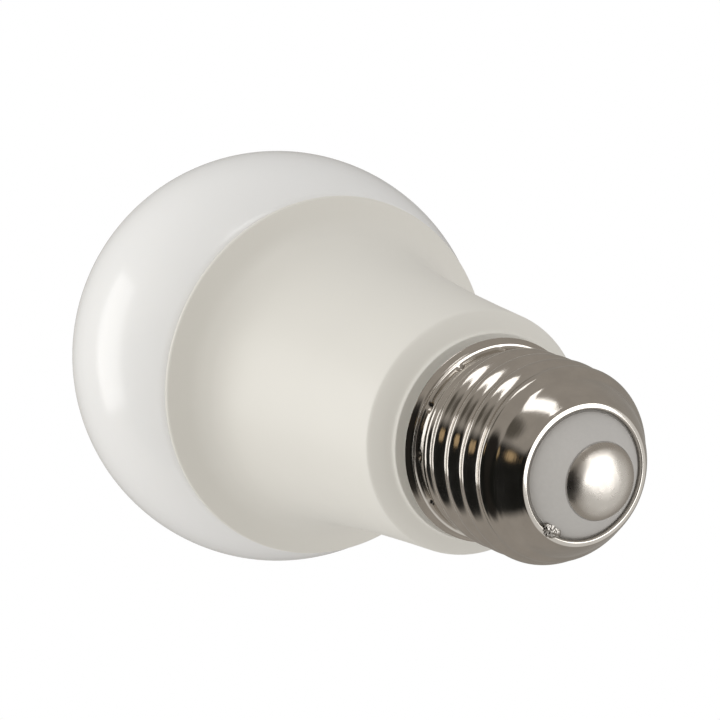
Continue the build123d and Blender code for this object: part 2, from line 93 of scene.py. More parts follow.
def length(name, description, value):
    """A length property, given in millimetres."""
    return FloatProperty(name=name, description=description, default=value * MM, precision=5, unit="LENGTH")


def colour(name, description, code):
    """A colour property, given as sRGB hex."""
    return FloatVectorProperty(
        name=name, description=description, default=linear(code), min=0.0, max=1.0, subtype="COLOR"
    )


def brightness(name, description, value):
    """A light's strength, in the render's own linear units."""
    return FloatProperty(name=name, description=description, default=value, min=0.0)


class BulbSizes(bpy.types.PropertyGroup):
    """Sizes of the visible pieces"""

    dome_wall: length("Diffuser wall", "Thickness of the diffuser", 1.2)
    dome_edge: length("Diffuser edge", "Rounding of the diffuser's edge at the seam", 0.35)
    register: length("Register radius", "Upstand of the housing that the diffuser sits over", 24.17)
    rim_lip: length("Rim lip", "Height of the rounded rim", 0.9)
    neck_radius: length("Neck radius", "Housing radius where the flank ends", 16.5)
    neck_height: length("Neck height", "Where the flank turns into the chamfer", 31.2)
    collar_radius: length("Collar radius", "Short band below the chamfer", 13.9)
    collar_height: length("Collar height", "End face of the collar", 28.05)
    spigot_radius: length("Spigot radius", "Spigot inside the screw shell", 11.85)
    housing_wall: length("Housing wall", "Thickness of the housing", 1.6)
    crest: length("Thread crest", "Radius over the thread's crests", 13.15)
    root: length("Thread root", "Radius in the thread's grooves", 12.33)
    pitch: length("Thread pitch", "Rise of the thread in one turn", 3.629)
    first_crest: length("First crest", "Height of the crest nearest the contact, on the -Y side", 9.2)
    taper_radius: length("Taper radius", "Small end of the tapered shoulder", 9.3)
    taper_top: length("Taper top", "Where the shoulder has widened to the thread's root", 12.0)
    thread_start: length("Thread start", "Where the thread begins to rise out of the shoulder", 7.6)
    plain: length("Plain band", "Where the thread has run out into the plain band", 23.4)
    plain_radius: length("Plain radius", "Radius of the plain band", 12.45)
    shell_wall: length("Shell wall", "Thickness of the shell's sheet", 0.3)
    roll_radius: length("Roll radius", "Inner edge of the shell's rolled end", 8.35)
    dimple_height: length("Dimple height", "Height of the stake marks", 24.25)
    dimple_depth: length("Dimple depth", "Depth of a stake mark", 0.42)
    dimple_radius: length("Dimple radius", "Radius of a stake mark", 0.62)
    dimple_turn: FloatProperty(
        name="Dimple turn",
        description="Where the first stake mark is",
        default=math.radians(-84.5),
        subtype="ANGLE",
    )
    dimple_count: IntProperty(name="Dimples", description="Stake marks round the shell", default=12, min=0)
    insulator_radius: length("Insulator radius", "Edge of the insulator beside the roll", 8.05)
    insulator_height: length("Insulator height", "Height of that edge", 5.2)
    contact_flat: length("Contact flat", "Radius of the flat on the contact's tip", 1.2)


class BulbFinishes(bpy.types.PropertyGroup):
    """Colours of the visible pieces"""

    diffuser: colour("Diffuser", "Milky polycarbonate", "#F7F6F4")
    housing: colour("Housing", "Warm white moulded plastic", "#E6E3DB")
    nickel: colour("Nickel", "Bright nickel plating", "#D4CFC8")
    insulator: colour("Insulator", "Light grey moulded thermoset", "#C6C3BF")
    solder: colour("Solder", "Tin solder", "#A9A5A0")
    floor: colour("Floor", "Pale studio floor", "#F2F2F1")


class BulbStudio(bpy.types.PropertyGroup):
    """Camera and light"""

    lens: FloatProperty(name="Lens", description="Focal length in millimetres", default=155.52)
    tilt: FloatProperty(
        name="Tilt", description="How far the camera looks up", default=math.radians(58.58), subtype="ANGLE"
    )
    roll: FloatProperty(
        name="Roll",
        description="Turn of the camera about its own axis",
        default=math.radians(-69.52),
        subtype="ANGLE",
    )
    place: FloatVectorProperty(
        name="Camera place",
        description="Camera position from the contact's tip",
        default=(0.00365, -0.22799, -0.30855),
        precision=5,
        unit="LENGTH",
    )
    ambient: brightness("Ambient", "Light from the tent on matte surfaces", 0.72)
    left: brightness("Left softbox", "Brightness of the tall softbox on the left", 1.5)
    top: brightness("Top softbox", "Brightness of the wide softbox above", 1.6)
    right: brightness("Right softbox", "Brightness of the softbox on the right", 2.3)
    floor_drop: length("Floor drop", "How far the floor lies below the bulb", 560)


# ---------------------------------------------------------------- outlines
def through(points, steps):
    """Smooth run through points, as a Catmull-Rom curve."""
    ends = [points[0], *points, points[-1]]
    run = []
    for a, b, c, d in zip(ends, ends[1:], ends[2:], ends[3:]):
        for k in range(steps):
            t = k / steps
            run.append(
                tuple(
                    0.5
                    * (
                        2 * q
                        + (r - p) * t
                        + (2 * p - 5 * q + 4 * r - s) * t**2
                        + (3 * q - p - 3 * r + s) * t**3
                    )
                    for p, q, r, s in zip(a, b, c, d)
                )
            )
    return run + [points[-1]]


def arc(centre, radius, start, end, steps):
    """Points of (radius, height) on an arc, between two angles in degrees."""
    turns = [math.radians(start + (end - start) * k / steps) for k in range(steps + 1)]
    return [(centre[0] + radius * math.cos(t), centre[1] + radius * math.sin(t)) for t in turns]


def ramp(start, end, value):
    """0 before start, 1 after end, and a smooth step between."""
    t = min(1.0, max(0.0, (value - start) / (end - start)))
    return t * t * (3 - 2 * t)


# ---------------------------------------------------------------- modelling by hand
def deselect():
    """Nothing is selected, and the mode is object mode."""
    if bpy.context.object and bpy.context.object.mode != "OBJECT":
        bpy.ops.object.mode_set(mode="OBJECT")
    bpy.ops.object.select_all(action="DESELECT")


def lathe(name, outline, steps):
    """A turned piece: one point is extruded along the outline of (radius, height), and turned about Z."""
    deselect()
    bpy.ops.mesh.primitive_plane_add(size=MM, location=(outline[0][0], 0, outline[0][1]))
    piece = bpy.context.object
    piece.name = name
    bpy.ops.object.mode_set(mode="EDIT")
    bpy.ops.mesh.merge(type="CENTER")
    for here, there in zip(outline, outline[1:]):
        move = (there[0] - here[0], 0, there[1] - here[1])
        bpy.ops.mesh.extrude_vertices_move(TRANSFORM_OT_translate={"value": move})
    bpy.ops.object.mode_set(mode="OBJECT")
    bpy.ops.object.transform_apply(location=True, rotation=True, scale=True)
    turn = piece.modifiers.new("Turn", "SCREW")
    turn.axis = "Z"
    turn.steps = steps
    turn.render_steps = steps
    turn.use_merge_vertices = True
    turn.merge_threshold = 0.001 * MM
    bpy.ops.object.modifier_apply(modifier=turn.name)
    close_seams(piece)
    return piece


def close_seams(piece):
    """Merges doubles, turns the faces outwards and shades them smooth."""
    bpy.ops.object.mode_set(mode="EDIT")
    bpy.ops.mesh.select_all(action="SELECT")
    bpy.ops.mesh.remove_doubles(threshold=0.001 * MM)
    bpy.ops.mesh.normals_make_consistent(inside=False)
    bpy.ops.object.mode_set(mode="OBJECT")
    bpy.ops.object.shade_smooth()
    piece.data.name = piece.name


def stands_for(piece, node, material):
    """The piece rides on the bulb in place of a node, with its finish."""
    piece.data.materials.clear()
    piece.data.materials.append(material)
    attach(piece, "root")
    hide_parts(node)


# ---------------------------------------------------------------- materials
def add_node(tree, kind, settings=None, values=None, links=None):
    """Adds a node with its settings, socket values and links from (node, output)."""
    made = tree.nodes.new(kind)
    for key, value in (settings or {}).items():
        setattr(made, key, value)
    for key, value in (values or {}).items():
        made.inputs[key].default_value = value
    for key, (source, output) in (links or {}).items():
        tree.links.new(source.outputs[output], made.inputs[key])
    return made


class Grain(NamedTuple):
    """A noise whose features measure about size metres, stretched along an axis where asked."""

    size: float
    detail: float = 3.0
    stretch: tuple = (1, 1, 1)


def grained_surface(name, values, base, drift, gloss, relief=None):
    """A material whose colour, gloss and relief each follow a grain of their own.

    drift is a grain and the share by which the base colour drifts, gloss is a grain with the lowest and
    the highest roughness, and relief is a grain and its height in metres.
    """
    material = bpy.data.materials.new(name)
    material.use_nodes = True
    tree = material.node_tree
    tree.nodes.clear()
    surface = add_node(tree, "ShaderNodeBsdfPrincipled", values=values)
    add_node(tree, "ShaderNodeOutputMaterial", links={"Surface": (surface, "BSDF")})
    place = add_node(tree, "ShaderNodeTexCoord")
    noises = []
    for grain in (drift[0], gloss[0], relief[0] if relief else None):
        if grain is None:
            continue
        scaled = add_node(
            tree,
            "ShaderNodeMapping",
            values={"Scale": grain.stretch},
            links={"Vector": (place, "Object")},
        )
        noises.append(
            add_node(
                tree,
                "ShaderNodeTexNoise",
                values={"Scale": 1 / grain.size, "Detail": grain.detail},
                links={"Vector": (scaled, "Vector")},
            )
        )
    share = drift[1]
    tint = add_node(
        tree,
        "ShaderNodeMix",
        settings={"data_type": "RGBA"},
        values={
            "A": (*[c * (1 - share) for c in base], 1),
            "B": (*[min(1.0, c * (1 + share)) for c in base], 1),
        },
        links={"Factor": (noises[0], "Fac")},
    )
    spread = add_node(
        tree,
        "ShaderNodeMapRange",
        values={"From Min": 0.3, "From Max": 0.7, "To Min": gloss[1], "To Max": gloss[2]},
        links={"Value": (noises[1], "Fac")},
    )
    tree.links.new(tint.outputs["Result"], surface.inputs["Base Color"])
    tree.links.new(spread.outputs["Result"], surface.inputs["Roughness"])
    if relief:
        bump = add_node(
            tree,
            "ShaderNodeBump",
            values={"Strength": 1.0, "Distance": relief[1]},
            links={"Height": (noises[2], "Fac")},
        )
        tree.links.new(bump.outputs["Normal"], surface.inputs["Normal"])
    return material


def moulded_opal_polycarbonate(base):
    """Polycarbonate with a milky filler, moulded in a polished tool: glossy skin, light spreads under it."""
    return grained_surface(
        "moulded_opal_polycarbonate",
        {
            "IOR": 1.585,
            "Subsurface Weight": 0.25,
            "Subsurface Radius": (1.0, 0.98, 0.95),
            "Subsurface Scale": 0.9 * MM,
        },
        base,
        drift=(Grain(9 * MM), 0.006),
        gloss=(Grain(5 * MM), 0.15, 0.19),
        # Faint flow waviness of the moulding, 14 mm long.
        relief=(Grain(14 * MM, detail=0.0), 0.02 * MM),
    )


def spark_eroded_plastic(base):
    """Filled thermoplastic, moulded in a finely spark-eroded tool: satin, with a very fine even grain."""
    return grained_surface(
        "spark_eroded_plastic",
        {"IOR": 1.53},
        base,
        drift=(Grain(12 * MM), 0.012),
        gloss=(Grain(3 * MM), 0.40, 0.46),
        # The tool's grain is 0.05 mm; it is drawn at 0.16 mm so that it shows.
        relief=(Grain(0.16 * MM, detail=2.0), 0.0035 * MM),
    )


def rolled_nickel_plate(base):
    """Brass sheet, thread-rolled and nickel plated: bright, with fine drawn lines round the shell."""
    return grained_surface(
        "rolled_nickel_plate",
        {"Metallic": 1.0},
        base,
        drift=(Grain(2.5 * MM, detail=5.0, stretch=(1, 1, 2)), 0.12),
        gloss=(Grain(1.6 * MM), 0.08, 0.15),
        # Tool lines run round the axis, 0.12 mm apart along it.
        relief=(Grain(1.2 * MM, detail=4.0, stretch=(1, 1, 10)), 0.006 * MM),
    )


def stamped_nickel_plate(base):
    """Brass sheet, stamped and barrel plated: satin nickel with a soft sheen."""
    return grained_surface(
        "stamped_nickel_plate",
        {"Metallic": 1.0},
        base,
        drift=(Grain(1.5 * MM), 0.04),
        gloss=(Grain(1.2 * MM), 0.24, 0.33),
        relief=(Grain(0.35 * MM), 0.004 * MM),
    )


def moulded_thermoset(base):
    """Mineral-filled thermoset, compression moulded: dry and matte, with a faint speckle."""
    return grained_surface(
        "moulded_thermoset",
        {"IOR": 1.55},
        base,
        drift=(Grain(0.5 * MM, detail=5.0), 0.05),
        gloss=(Grain(1.5 * MM), 0.5, 0.62),
        relief=(Grain(0.25 * MM), 0.006 * MM),
    )


def frozen_solder(base):
    """Tin solder that froze as it was drawn off: greyish and bright, with fine wrinkles."""
    return grained_surface(
        "frozen_solder",
        {"Metallic": 1.0},
        base,
        drift=(Grain(0.6 * MM), 0.12),
        gloss=(Grain(0.4 * MM), 0.14, 0.3),
        relief=(Grain(0.4 * MM, detail=2.0), 0.012 * MM),
    )


def studio_paper(base):
    """Background paper, rolled and uncoated: matte, all but even."""
    return grained_surface(
        "studio_paper",
        {"IOR": 1.4},
        base,
        drift=(Grain(400 * MM), 0.005),
        gloss=(Grain(60 * MM), 0.7, 0.8),
    )


# How each hidden piece is finished: surface, colour, roughness, metallic, and grain in millimetres.
INNER_FINISHES = {
    "silicone_sealant": ("#EDEDEA", 0.45, 0.0, 1.5),
    "cap_cement_resin": ("#A79C84", 0.7, 0.0, 0.6),
    "white_polyester": ("#E6E6E2", 0.35, 0.0, 2.0),
    "sheet_aluminium": ("#D8D8DA", 0.3, 1.0, 0.8),
    "thermal_silicone": ("#98A8B4", 0.75, 0.0, 0.4),
    "white_solder_mask": ("#F4F4F2", 0.3, 0.0, 1.0),
    "zinc_steel": ("#B4B8BC", 0.28, 1.0, 0.5),
    "warm_phosphor": ("#EFC55C", 0.35, 0.0, 0.3),
    "cool_phosphor": ("#E9E08C", 0.35, 0.0, 0.3),
    "colour_led_package": ("#EFEFEC", 0.3, 0.0, 0.5),
    "green_circuit_board": ("#1E5A34", 0.32, 0.0, 0.5),
    "dark_ferrite": ("#2B2B2D", 0.55, 0.0, 0.2),
    "bobbin_phenolic": ("#1B1B1B", 0.5, 0.0, 0.5),
    "polyester_tape": ("#D9B52E", 0.2, 0.0, 1.5),
    "capacitor_sleeve": ("#15151A", 0.22, 0.0, 2.0),
    "tinned_wire": ("#C9C9C9", 0.25, 1.0, 0.3),
    "film_epoxy": ("#A83320", 0.18, 0.0, 1.2),
    "enamelled_copper": ("#B4623A", 0.25, 1.0, 0.25),
    "varistor_epoxy": ("#1F4A96", 0.25, 0.0, 1.2),
    "chip_epoxy": ("#1A1A1A", 0.6, 0.0, 0.15),
    "chip_ceramic": ("#B4987A", 0.5, 0.0, 0.2),
    "fusible_resistor_coat": ("#7F9B84", 0.35, 0.0, 0.6),
    "clear_shrink_tube": ("#D8D6C8", 0.5, 0.0, 0.3),
    "wire_insulation": ("#ECECEA", 0.4, 0.0, 1.0),
    "connector_nylon": ("#1C1C1C", 0.45, 0.0, 0.6),
    "gold_pin": ("#DDBB6A", 0.22, 1.0, 0.3),
    "radio_circuit_board": ("#1C2A5C", 0.32, 0.0, 0.5),
    "tin_shield": ("#C0C0C0", 0.3, 1.0, 0.8),
    "antenna_copper": ("#D79B57", 0.25, 1.0, 0.3),
    "tin_solder": ("#C4C2BD", 0.22, 1.0, 0.3),
}


def inner_material(slot):
    """Finish of a hidden piece, with a grain of its own real size."""
    code, roughness, metallic, size = INNER_FINISHES[slot]
    return grained_surface(
        slot,
        {"Metallic": metallic},
        linear(code),
        drift=(Grain(4 * size * MM), 0.04),
        gloss=(Grain(2 * size * MM), 0.9 * roughness, 1.1 * roughness),
        relief=(Grain(size * MM), 0.01 * size * MM),
    )


# ---------------------------------------------------------------- pieces
class BULB_OT_diffuser(bpy.types.Operator):
    """Moulds the milky diffuser"""

    bl_idname = "bulb.diffuser"
    bl_label = "Diffuser"

    def execute(self, context):
        size = context.scene.bulb_sizes
        low, high = DIFFUSER_BOX
        outside = high.x
        inside = outside - size.dome_wall
        middle = high.z - outside
        seam = math.degrees(math.asin((low.z - middle) / outside))
        turn = math.degrees(size.dome_edge / outside)
        outer = arc((0, middle), outside, 90, seam + turn, 72)
        outer[0] = (0, high.z)
        edge_radius = outside * math.cos(math.radians(seam))
        eased = 0.12 * MM
        edge = [(edge_radius - eased, low.z + eased), (edge_radius - size.dome_edge, low.z)]
        seam_inside = math.degrees(math.asin((low.z - middle) / inside))
        inner = arc((0, middle), inside, seam_inside, 90, 36)
        inner[-1] = (0, middle + inside)
        piece = lathe("diffuser_shell", outer + edge + inner, 192)
        finish = moulded_opal_polycarbonate(context.scene.bulb_finishes.diffuser)
        stands_for(piece, "diffuser", finish)
        return {"FINISHED"}


class BULB_OT_housing(bpy.types.Operator):
    """Moulds the tapered housing with its rim, chamfer, collar and spigot"""

    bl_idname = "bulb.housing"
    bl_label = "Housing"

    def execute(self, context):
        size = context.scene.bulb_sizes
        low, high = HOUSING_BOX
        seam = DIFFUSER_BOX[0].z
        rim = high.x
        corner = 0.45 * MM
        start = rim - 0.4 * MM
        top = seam - size.rim_lip
        drop = top - size.neck_height
        width = start - size.neck_radius
        # The flank by its share of the whole fall and of the whole width: a flare, then nearly straight.
        falls = [0.0, 0.015, 0.036, 0.066, 0.109, 0.186, 0.313, 0.471, 0.649, 0.827, 1.0]
        widths = [1.0, 0.833, 0.678, 0.556, 0.456, 0.356, 0.267, 0.189, 0.111, 0.05, 0.0]
        flank = [(size.neck_radius + width * w, top - drop * f) for f, w in zip(falls, widths)]
        wall = size.housing_wall
        spigot_bore = size.spigot_radius - 1.2 * MM
        register_bore = size.register - 1.4 * MM
        chamfer = 0.4 * MM
        outline = [
            (size.register - chamfer, high.z),
            (size.register, high.z - chamfer),
            (size.register, seam),
            *arc((rim - corner, seam - corner), corner, 90, -80, 12),
            *through(flank, 7)[1:-1],
            *through(
                [
                    (size.neck_radius, size.neck_height),
                    (size.neck_radius - 0.07 * MM, size.neck_height - 0.3 * MM),
                    (size.neck_radius - 0.3 * MM, size.neck_height - 0.62 * MM),
                ],
                4,
            ),
            (size.collar_radius + 0.3 * MM, size.collar_height + 0.84 * MM),
            (size.collar_radius + 0.08 * MM, size.collar_height + 0.7 * MM),
            (size.collar_radius, size.collar_height + 0.5 * MM),
            (size.collar_radius, size.collar_height + 0.3 * MM),
            *arc((size.collar_radius - 0.2 * MM, size.collar_height + 0.2 * MM), 0.2 * MM, 0, -90, 5),
            (size.spigot_radius, size.collar_height),
            (size.spigot_radius, low.z + 0.5 * MM),
            (size.spigot_radius - 0.5 * MM, low.z),
            (spigot_bore, low.z),
            (spigot_bore, size.neck_height + 1 * MM),
            (size.neck_radius - wall, size.neck_height + 1 * MM),
            *[(r - wall, z) for r, z in reversed(flank[5:-1])],
            (flank[5][0] - wall, seam),
            (register_bore, seam),
            (register_bore, high.z),
            (size.register - chamfer, high.z),
        ]
        piece = lathe("housing_shell", outline, 192)
        finish = spark_eroded_plastic(context.scene.bulb_finishes.housing)
        stands_for(piece, "housing", finish)
        return {"FINISHED"}


def shell_root(size, floor, height):
    """Radius of the shell between its crests: a tapered shoulder, then straight."""
    left = min(1.0, max(0.0, (size.taper_top - height) / (size.taper_top - floor)))
    return size.root - (size.root - size.taper_radius) * left**2


def roll_thread(piece, size, floor):
    """Rolls the thread and stakes the dimples into the turned shell, by moving its outer points."""
    depth = size.crest - size.root
    staked = 1.8 * MM
    gap = 2 * math.pi / max(1, size.dimple_count)
    for point in piece.data.vertices:
        radius = math.hypot(point.co.x, point.co.y)
        turn = math.atan2(point.co.y, point.co.x)
        height = point.co.z
        wanted = radius
        root = shell_root(size, floor, height)
        if size.thread_start < height < size.plain and radius > root - 0.1 * MM:
            phase = (height - size.first_crest) / size.pitch - (turn + 0.5 * math.pi) / (2 * math.pi)
            wave = 0.5 + 0.5 * math.cos(2 * math.pi * phase)
            start = ramp(size.thread_start, size.thread_start + 0.5 * size.pitch, height)
            end = ramp(size.plain - 0.5 * size.pitch, size.plain, height)
            wanted = root + depth * wave * start
            wanted += (size.plain_radius - wanted) * end
        if size.plain < height < size.plain + staked and radius > size.root:
            nearest = (turn - size.dimple_turn + 0.5 * gap) % gap - 0.5 * gap
            away = math.hypot(nearest * size.plain_radius, height - size.dimple_height) / size.dimple_radius
            wanted -= size.dimple_depth * (1 - ramp(0.25, 1.0, away))
        point.co.x *= wanted / radius
        point.co.y *= wanted / radius


class BULB_OT_screw_shell(bpy.types.Operator):
    """Spins the screw shell from sheet, then rolls its thread and stakes its dimples"""

    bl_idname = "bulb.screw_shell"
    bl_label = "Screw shell"

    def execute(self, context):
        size = context.scene.bulb_sizes
        low, high = SHELL_BOX
        roll = size.roll_radius
        floor = low.z + 0.25 * MM
        lip = high.x
        inside = size.root - size.shell_wall
        rows = 150
        bead = 13.0 * MM
        foot = floor + 0.35 * MM
        rise = (size.plain - foot) / rows
        shoulder = [
            (roll + 0.25 * MM, low.z),
            (size.taper_radius - 0.2 * MM, low.z + 0.08 * MM),
            (size.taper_radius + 0.05 * MM, floor + 0.05 * MM),
            (shell_root(size, floor, foot), foot),
        ]
        heights = [foot + rise * k for k in range(1, rows)]
        tapered = reversed(heights[10:66:5])
        bead_and_lip = [
            (size.plain_radius, size.plain + 1.25 * MM),
            (bead - 0.28 * MM, size.plain + 1.42 * MM),
            (bead, size.plain + 1.5 * MM),
            (bead + 0.05 * MM, size.plain + 1.62 * MM),
            (bead - 0.04 * MM, size.plain + 1.8 * MM),
            (bead - 0.1 * MM, size.plain + 2.0 * MM),
            (bead + 0.15 * MM, size.plain + 2.25 * MM),
            (lip - 0.1 * MM, high.z - 0.24 * MM),
            (lip, high.z - 0.1 * MM),
            (lip - 0.08 * MM, high.z),
        ]
        outline = [
            (roll, floor + 0.3 * MM),
            (roll, floor),
            (roll + 0.12 * MM, low.z + 0.08 * MM),
            *through(shoulder, 6),
            *[(shell_root(size, floor, z), z) for z in heights],
            *[(size.plain_radius, size.plain + 0.1 * MM * k) for k in range(12)],
            *through(bead_and_lip, 3),
            (lip - 0.3 * MM, high.z - 0.05 * MM),
            (size.root - 0.05 * MM, high.z - 0.85 * MM),
            (inside, high.z - 1.2 * MM),
            *[(shell_root(size, floor, z) - size.shell_wall, z) for z in tapered],
            (roll + 0.1 * MM, floor + 0.45 * MM),
            (roll, floor + 0.3 * MM),
        ]
        piece = lathe("screw_shell_sheet", outline, 288)
        roll_thread(piece, size, floor)
        finish = rolled_nickel_plate(context.scene.bulb_finishes.nickel)
        stands_for(piece, "screw_shell", finish)
        return {"FINISHED"}


class BULB_OT_insulator(bpy.types.Operator):
    """Moulds the conical insulator between the shell and the contact"""

    bl_idname = "bulb.insulator"
    bl_label = "Insulator"

    def execute(self, context):
        size = context.scene.bulb_sizes
        low, high = INSULATOR_BOX
        contact = CONTACT_BOX[1].x + 0.1 * MM
        edge = size.insulator_radius
        edge_inside = size.insulator_height + 0.25 * MM
        cone = [
            (contact, low.z + 0.1 * MM),
            (contact + 0.25 * MM, low.z + 0.28 * MM),
            (edge - 0.3 * MM, size.insulator_height - 0.42 * MM),
            (edge - 0.05 * MM, size.insulator_height - 0.2 * MM),
            (edge, size.insulator_height),
        ]
        outline = [
            (SHANK, low.z),
            (contact - 0.1 * MM, low.z),
            *through(cone, 5),
            (size.roll_radius + 0.1 * MM, edge_inside),
            (9.0 * MM, edge_inside + 0.2 * MM),
            (9.5 * MM, edge_inside + 1.2 * MM),
            (9.5 * MM, high.z),
            (9.0 * MM, high.z),
            (3.0 * MM, high.z - 0.9 * MM),
            (SHANK, high.z - 0.9 * MM),
            (SHANK, low.z),
        ]
        piece = lathe("cap_insulator_cone", outline, 160)
        finish = moulded_thermoset(context.scene.bulb_finishes.insulator)
        stands_for(piece, "cap_insulator", finish)
        return {"FINISHED"}


class BULB_OT_centre_contact(bpy.types.Operator):
    """Stamps the domed centre contact with its rivet shank"""

    bl_idname = "bulb.centre_contact"
    bl_label = "Centre contact"

    def execute(self, context):
        size = context.scene.bulb_sizes
        low, high = CONTACT_BOX
        radius = high.x
        back = 1.5 * MM
        floor = 0.9 * MM
        bore = 1.0 * MM
        dome = [
            (size.contact_flat, low.z),
            (0.46 * radius, low.z + 0.1 * MM),
            (0.66 * radius, low.z + 0.34 * MM),
            (0.84 * radius, low.z + 0.72 * MM),
            (0.95 * radius, low.z + 1.06 * MM),
            (radius, low.z + 1.3 * MM),
        ]
        outline = [
            (0, low.z),
            *through(dome, 6),
            (radius - 0.03 * MM, back - 0.06 * MM),
            (radius - 0.12 * MM, back),
            (SHANK, back),
            (SHANK, high.z),
            (bore, high.z),
            (bore, floor),
            (0, floor),
        ]
        piece = lathe("centre_contact_button", outline, 128)
        finish = stamped_nickel_plate(context.scene.bulb_finishes.nickel)
        stands_for(piece, "centre_contact", finish)
        return {"FINISHED"}


class BULB_OT_side_solder(bpy.types.Operator):
    """Freezes a wrinkled puddle of solder between the insulator and the shell"""

    bl_idname = "bulb.side_solder"
    bl_label = "Side solder"

    def execute(self, context):
        size = context.scene.bulb_sizes
        low, high = SOLDER_BOX
        middle = 0.5 * (low + high)
        turn = math.atan2(middle.y, middle.x)
        centre = size.insulator_radius + 0.25 * MM
        lean = -0.35  # follows the slope between the insulator and the roll
        deselect()
        bpy.ops.mesh.primitive_uv_sphere_add(
            segments=96,
            ring_count=64,
            radius=1.0 * MM,
            location=(centre * math.cos(turn), centre * math.sin(turn), low.z + 0.45 * MM),
            rotation=(0, lean, turn),
            scale=(1.1, 1.6, 0.42),
        )
        piece = context.object
        piece.name = "side_solder_puddle"
        bpy.ops.object.transform_apply(location=True, rotation=True, scale=True)
        for name, wrinkle, height in (("fold", 0.9, 0.4), ("crinkle", 0.35, 0.16)):
            pattern = bpy.data.textures.new(f"solder_{name}", "CLOUDS")
            pattern.noise_scale = wrinkle * MM
            push = piece.modifiers.new(name, "DISPLACE")
            push.texture = pattern
            push.texture_coords = "LOCAL"
            push.strength = height * MM
            bpy.ops.object.modifier_apply(modifier=name)
        close_seams(piece)
        finish = frozen_solder(context.scene.bulb_finishes.solder)
        stands_for(piece, "side_solder", finish)
        return {"FINISHED"}


class BULB_OT_inner_parts(bpy.types.Operator):
    """Finishes the pieces inside the housing and the diffuser"""

    bl_idname = "bulb.inner_parts"
    bl_label = "Inner parts"

    def execute(self, context):
        finishes = {}
        for row in frame["record"]["subparts"]:
            node, slot = frame["nodes"][row["node"]], row["material_slot"]
            if node.hide_render:
                continue
            if slot not in finishes:
                finishes[slot] = inner_material(slot)
            node.data.materials.clear()
            node.data.materials.append(finishes[slot])
        return {"FINISHED"}


# ---------------------------------------------------------------- studio
def studio_axes(studio):
    """Right, up and back of the camera, as directions in the bulb's frame."""
    turn = Matrix.Rotation(math.radians(90) + studio.tilt, 4, "X") @ Matrix.Rotation(studio.roll, 4, "Z")
    return turn, [turn.to_3x3() @ Vector(axis) for axis in ((1, 0, 0), (0, 1, 0), (0, 0, 1))]


def towards(axes, right, up, back):
    """A direction given by its shares along the camera's axes."""
    return (axes[0] * right + axes[1] * up + axes[2] * back).normalized()


def faced(direction, upright):
    """Rotation of a lamp that shines back along a direction, with its own Y held upright."""
    across = upright.cross(direction).normalized()
    return Matrix((across, direction.cross(across), direction)).transposed().to_euler()


def lobe(tree, place, direction, outer, inner):
    """1 within the inner angle of a direction, 0 beyond the outer one, in degrees."""
    along = add_node(
        tree,
        "ShaderNodeVectorMath",
        settings={"operation": "DOT_PRODUCT"},
        links={0: (place, "Generated")},
    )
    along.inputs[1].default_value = direction
    return add_node(
        tree,
        "ShaderNodeMapRange",
        settings={"interpolation_type": "SMOOTHSTEP"},
        values={"From Min": math.cos(math.radians(outer)), "From Max": math.cos(math.radians(inner))},
        links={"Value": (along, "Value")},
    )


def layered(tree, place, base, layers):
    """Colour of the surroundings: a base, with soft-edged patches laid over it in turn."""
    ground = add_node(tree, "ShaderNodeRGB")
    ground.outputs[0].default_value = (*base, 1)
    seen = (ground, "Color")
    for direction, outer, inner, shade in layers:
        mask = lobe(tree, place, direction, outer, inner)
        layer = add_node(
            tree, "ShaderNodeMix", settings={"data_type": "RGBA"}, links={"Factor": (mask, "Result")}
        )
        tree.links.new(seen[0].outputs[seen[1]], layer.inputs["A"])
        layer.inputs["B"].default_value = (*shade, 1)
        seen = (layer, "Result")
    return seen


